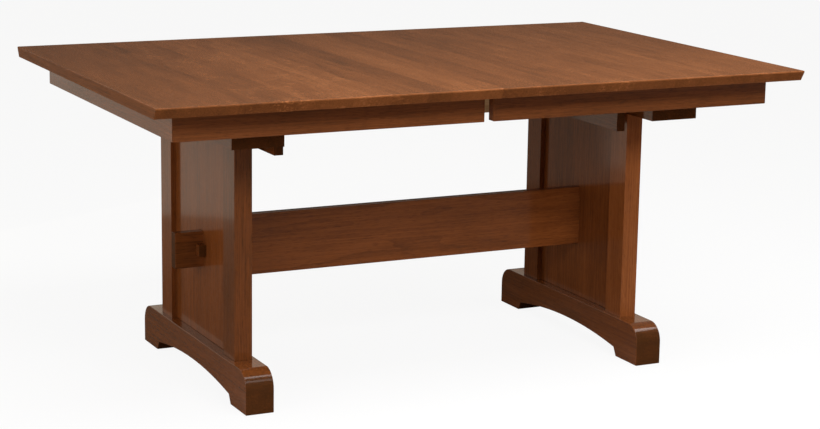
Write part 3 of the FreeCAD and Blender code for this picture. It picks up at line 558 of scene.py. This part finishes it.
for number, side in enumerate(("left", "right")):
    sign = 2 * number - 1
    oak_piece(f"{side}_end_apron", "Y", 0.46, (sign * 0.9, 0.55), 31 + number)
    oak_piece(f"{side}_foot", "Y", 0.46, (sign * 0.43, -0.10), 41 + number, radius=FOOT_EASE,
              gloss=0.85, end_shade=0.42)
    oak_piece(f"{side}_panel", "Z", 0.52, (sign * 0.38, 0.05), 51 + number)
    oak_piece(f"{side}_tenon_key", "Y", 0.40, (sign * 0.5, 0.2), 61 + number)
    oak_piece(f"{side}_bearer", "Y", 0.48, (sign * 0.5, 0.5), 71 + number, end_shade=0.36)
    oak_piece(f"{side}_slide_cleat", "Y", 0.42, (sign * 0.4, 0.5), 81 + number, end_shade=0.36)
    for row in ("front", "rear"):
        row_sign = -1 if row == "front" else 1
        # The aprons' end grain is made lighter, not darker: painted light on their end faces, such as the
        # one at the seam between the two halves.
        oak_piece(f"{side}_{row}_apron", "X", 0.50, (row_sign * 0.55, 0.95), 91 + number, end_shade=-0.35,
                  stain=APRON_STAIN_AND_PAINTED_SHEEN)
        oak_piece(f"{side}_{row}_post", "Z", POST_TONES[side, row], (sign * 0.47, row_sign * 0.14),
                  101 + number, radius=POST_EASE)
# The stretcher's tenons, where they come out of the panels, are darkened with painted shade.
oak_piece("stretcher", "X", 0.60, (0.9, 0.34), 111, dark_tips=0.54)
print("aprons, trestles and stretcher done")

# %% [markdown]
# ## Slides and blocks
# The slides are a pale hardwood with wax on it, because stain would come off on the runners. Corner
# and stop blocks are left bare. Both are the same solid wood as before with no open pores.

# %% Pale hardwoods
RAIL_COLOUR = (0.60, 0.40, 0.21)
BLOCK_COLOUR = (0.46, 0.29, 0.15)
DOWEL_COLOUR = (0.62, 0.42, 0.24)
RAIL_EASE = 0.0008
BLOCK_EASE = 0.0015
STOP_EASE = 0.0012


def pale_wood(name, grain, colour, rough, seed):
    material = bpy.data.materials.new(name)
    start = new_tree(material)
    place = start.node("TexCoord", output="Object")
    early = growth_rings(place, grain, (0.21, 0.35), seed)
    fibre = field(place, grain, 0.12, 0.0016, seed + 3, detail=3.0)
    clouds = field(place, grain, 0.5, 0.06, seed + 7)
    level = 0.5 + (fibre - 0.5) * 0.8 - early * 0.22 + (clouds - 0.5) * 0.5
    stops = [(0.0, shade(colour, 0.62, 1.1)), (0.5, shade(colour, 1.0)), (1.0, shade(colour, 1.25, 0.97))]
    tint = level.node("ValToRGB", {"stops": stops}, {"Fac": level})
    bump = start.node("Bump", sockets={"Strength": 0.25, "Distance": 0.0003, "Height": fibre - early * 0.3})
    close_tree(start.node("BsdfPrincipled", sockets={
        "Base Color": tint, "Roughness": rough + (fibre - 0.5) * 0.15, "Normal": bump,
        "Specular IOR Level": 0.3}))
    return material


rail_finish = pale_wood("waxed_hardwood", "X", RAIL_COLOUR, 0.38, 5)
block_finish = pale_wood("bare_hardwood", "X", BLOCK_COLOUR, 0.6, 15)
dowel_finish = pale_wood("beech", "X", DOWEL_COLOUR, 0.55, 25)

for row in ("front", "rear"):
    install(eased(f"{row}_centre_rail", RAIL_EASE), f"{row}_centre_rail", rail_finish)
    for side in ("left", "right"):
        rail = f"{row}_{side}_moving_rail"
        install(eased(rail, RAIL_EASE), rail, rail_finish)
        block = f"{side}_{row}_corner_block"
        install(eased(block, BLOCK_EASE), block, block_finish)
for side in ("left", "right"):
    blocks = f"{side}_stop_blocks"
    install(eased(blocks, STOP_EASE), blocks, block_finish)
install(eased("seam_dowels", RAIL_EASE), "seam_dowels", dowel_finish)
print("slides and blocks done")

# %% [markdown]
# ## Gears
# Racks and pinions are natural nylon: milky, a little waxy, with fine tool marks.

# %% Nylon
GEAR_EASE = 0.0002


def nylon():
    material = bpy.data.materials.new("natural_nylon")
    start = new_tree(material)
    place = start.node("TexCoord", output="Object")
    mottle = field(place, "X", 0.02, 0.02, 3.0, detail=4.0)
    marks = field(place, "Z", 0.02, 0.0006, 9.0, detail=1.0)
    tint = blend_colours(mottle, (0.60, 0.57, 0.50, 1.0), (0.82, 0.79, 0.71, 1.0))
    bump = start.node("Bump", sockets={"Strength": 0.2, "Distance": 0.0002, "Height": marks})
    close_tree(start.node("BsdfPrincipled", sockets={
        "Base Color": tint, "Roughness": 0.38 + mottle * 0.15, "Normal": bump,
        "Specular IOR Level": 0.45}))
    return material


nylon_finish = nylon()
for row in ("front", "rear"):
    install(eased(f"{row}_pinion", GEAR_EASE, 1), f"{row}_pinion", nylon_finish)
    for side in ("left", "right"):
        rack = f"{row}_{side}_rack"
        install(eased(rack, GEAR_EASE, 1), rack, nylon_finish)
print("gears done")

# %% [markdown]
# ## Metal
# Screws, bolts and locks are zinc plated steel: a bright blue-grey metal with slightly cloudy crystals.

# %% Zinc plated steel
METAL_EASE = 0.0004


def plated_steel():
    material = bpy.data.materials.new("zinc_plated_steel")
    start = new_tree(material)
    place = start.node("TexCoord", output="Object")
    cloud = field(place, "X", 0.006, 0.006, 4.0, detail=4.0)
    scratch = field(place, "X", 0.03, 0.0004, 8.0, detail=2.0)
    tint = blend_colours(cloud, (0.42, 0.43, 0.45, 1.0), (0.66, 0.67, 0.68, 1.0))
    bump = start.node("Bump", sockets={"Strength": 0.15, "Distance": 0.0002, "Height": scratch})
    close_tree(start.node("BsdfPrincipled", sockets={
        "Base Color": tint, "Metallic": 1.0, "Roughness": 0.28 + cloud * 0.2, "Normal": bump}))
    return material


steel_finish = plated_steel()
for row in ("front", "rear"):
    for part in ("pinion_pin", "lock_plate", "lock_keeper", "lock_lever"):
        node = f"{row}_{part}"
        install(eased(node, METAL_EASE), node, steel_finish)
print("pins and locks done")

# %% [markdown]
# ## Screws and bolts
# In the solids a fastener is a plain six-sided peg with a wider head. Here each becomes a real one: a
# pan head with a cross recess, or a hexagon head on its washer, then a smooth neck and a coarse wood
# thread that ends in a point. All of that is one shell of rings, whose radius changes with the depth
# and with the angle. The pegs say where each fastener sits and which way it points.

# %% Find the pegs
SAME_LEVEL = 1e-5


def pegs(node):
    """For each fastener in a solid: the middle of its head, its direction, length and radii."""
    shape = bmesh.new()
    shape.from_mesh(frame["nodes"][node].data)
    bmesh.ops.remove_doubles(shape, verts=shape.verts, dist=MERGE_DISTANCE)
    seen = set()
    found = []
    for first in shape.verts:
        if first in seen:
            continue
        seen.add(first)
        shell = [first]
        for vertex in shell:
            for edge in vertex.link_edges:
                other = edge.other_vert(vertex)
                if other not in seen:
                    seen.add(other)
                    shell.append(other)
        found.append(measure_peg([vertex.co.copy() for vertex in shell]))
    shape.free()
    return found


def measure_peg(points):
    """The sizes of one peg. Its wider end is the head."""
    levels = sorted({round(point.z, 6) for point in points})
    middle_x = (min(point.x for point in points) + max(point.x for point in points)) / 2
    middle_y = (min(point.y for point in points) + max(point.y for point in points)) / 2
    reach = {}
    for level in (levels[0], levels[-1]):
        ring = [point for point in points if abs(point.z - level) < SAME_LEVEL]
        reach[level] = max(math.hypot(point.x - middle_x, point.y - middle_y) for point in ring)
    head_level = max(reach, key=reach.get)
    tip_level = min(reach, key=reach.get)
    shoulder = min(levels[1:-1], key=lambda level: abs(level - head_level))
    return {
        "head": Vector((middle_x, middle_y, head_level)),
        "down": math.copysign(1.0, tip_level - head_level),
        "length": abs(tip_level - head_level),
        "head_height": abs(shoulder - head_level),
        "head_radius": reach[head_level],
        "shank_radius": reach[tip_level],
    }


print("first bearer screw:", pegs("bearer_screws")[0])

# %% Rings of a screw and of a bolt
SCREW_PITCH = 0.0030
BOLT_PITCH = 0.0040
SCREW_NECK = 0.30
BOLT_NECK = 0.35
THREAD_RUN_IN = 0.001
ROOT_SHARE = 0.72
FLANK_SLOPE = 3
RINGS_PER_TURN = 3
POINT_LENGTH = 0.006
BLUNTNESS = 0.12
CROSS_WAIST = 0.24
NEARLY_ZERO = 1e-6


def round_ring(radius):
    return lambda angle: radius


def cross_ring(radius):
    """The rim of a cross recess: four arms of this radius, with narrow waists between them."""
    def at(angle):
        across = max(min(abs(math.sin(angle)), abs(math.cos(angle))), NEARLY_ZERO)
        return min(radius, CROSS_WAIST * radius / across)
    return at


def hexagon_ring(inner_radius):
    def at(angle):
        within_side = angle % math.radians(60) - math.radians(30)
        return inner_radius / math.cos(within_side)
    return at


def thread_ring(depth, pitch, crest, root):
    """A ring of a thread: the crest climbs round the shank as the angle grows."""
    def at(angle):
        along = (depth / pitch - angle / math.tau) % 1.0
        return root + (crest - root) * max(0.0, 1 - FLANK_SLOPE * abs(along - 0.5))
    return at


def thread_rings(start, length, pitch, crest):
    """Rings down a threaded shank, which narrows to a point at its end."""
    rings = []
    count = round((length - start) / (pitch / RINGS_PER_TURN))
    for number in range(count + 1):
        depth = start + (length - start) * number / count
        narrowing = min(1.0, max(BLUNTNESS, (length - depth) / POINT_LENGTH))
        root = ROOT_SHARE * crest * narrowing
        rings.append((depth, thread_ring(depth, pitch, crest * narrowing, root)))
    return rings


def screw_rings(peg):
    head, height, shank = peg["head_radius"], peg["head_height"], peg["shank_radius"]
    neck_end = height + SCREW_NECK * (peg["length"] - height)
    return [
        (0.60 * height, cross_ring(0.35 * head)), (0.02 * height, cross_ring(0.55 * head)),
        (0.00, round_ring(0.66 * head)), (0.16 * height, round_ring(0.88 * head)),
        (0.45 * height, round_ring(head)), (height, round_ring(head)),
        (height, round_ring(0.88 * shank)), (neck_end, round_ring(0.88 * shank)),
    ] + thread_rings(neck_end + THREAD_RUN_IN, peg["length"], SCREW_PITCH, shank)


def bolt_rings(peg):
    head, height, shank = peg["head_radius"], peg["head_height"], peg["shank_radius"]
    flats = 0.80 * head
    neck_end = height + BOLT_NECK * (peg["length"] - height)
    return [
        (0.00, round_ring(0.78 * flats)), (0.02 * height, round_ring(0.94 * flats)),
        (0.14 * height, hexagon_ring(flats)), (0.74 * height, hexagon_ring(flats)),
        (0.75 * height, round_ring(head)), (height, round_ring(head)),
        (height, round_ring(0.92 * shank)), (neck_end, round_ring(0.92 * shank)),
    ] + thread_rings(neck_end + THREAD_RUN_IN, peg["length"], BOLT_PITCH, shank)


# %% Turn rings into fasteners
SCREW_SIDES = 16
BOLT_SIDES = 24
CREASE = math.radians(35)


def add_fastener(shape, peg, rings, sides):
    """Adds one closed shell: its rings of points, the faces between them and both ends."""
    loops = []
    for depth, radius_at in rings:
        loop = []
        for number in range(sides):
            angle = math.tau * number / sides
            radius = radius_at(angle)
            offset = (radius * math.cos(angle), radius * math.sin(angle), peg["down"] * depth)
            loop.append(shape.verts.new(peg["head"] + Vector(offset)))
        loops.append(loop)
    for upper, lower in zip(loops, loops[1:]):
        for number in range(sides):
            after = (number + 1) % sides
            shape.faces.new((upper[number], upper[after], lower[after], lower[number]))
    shape.faces.new(loops[0])
    shape.faces.new(list(reversed(loops[-1])))


def make_fasteners(node, rings_of, sides):
    shape = bmesh.new()
    found = pegs(node)
    for peg in found:
        add_fastener(shape, peg, rings_of(peg), sides)
    bmesh.ops.recalc_face_normals(shape, faces=shape.faces)
    mesh = bpy.data.meshes.new(node + "_detailed")
    shape.to_mesh(mesh)
    shape.free()
    mesh.polygons.foreach_set("use_smooth", [True] * len(mesh.polygons))
    mesh.set_sharp_from_angle(angle=CREASE)
    piece = bpy.data.objects.new(node + "_detailed", mesh)
    bpy.context.scene.collection.objects.link(piece)
    print(piece.name, "has", len(found), "fasteners and", len(mesh.polygons), "faces")
    return install(piece, node, steel_finish)


for node in ("slide_screws", "cleat_screws", "bearer_screws", "left_rail_screws", "right_rail_screws"):
    make_fasteners(node, screw_rings, SCREW_SIDES)
make_fasteners("foot_bolts", bolt_rings, BOLT_SIDES)
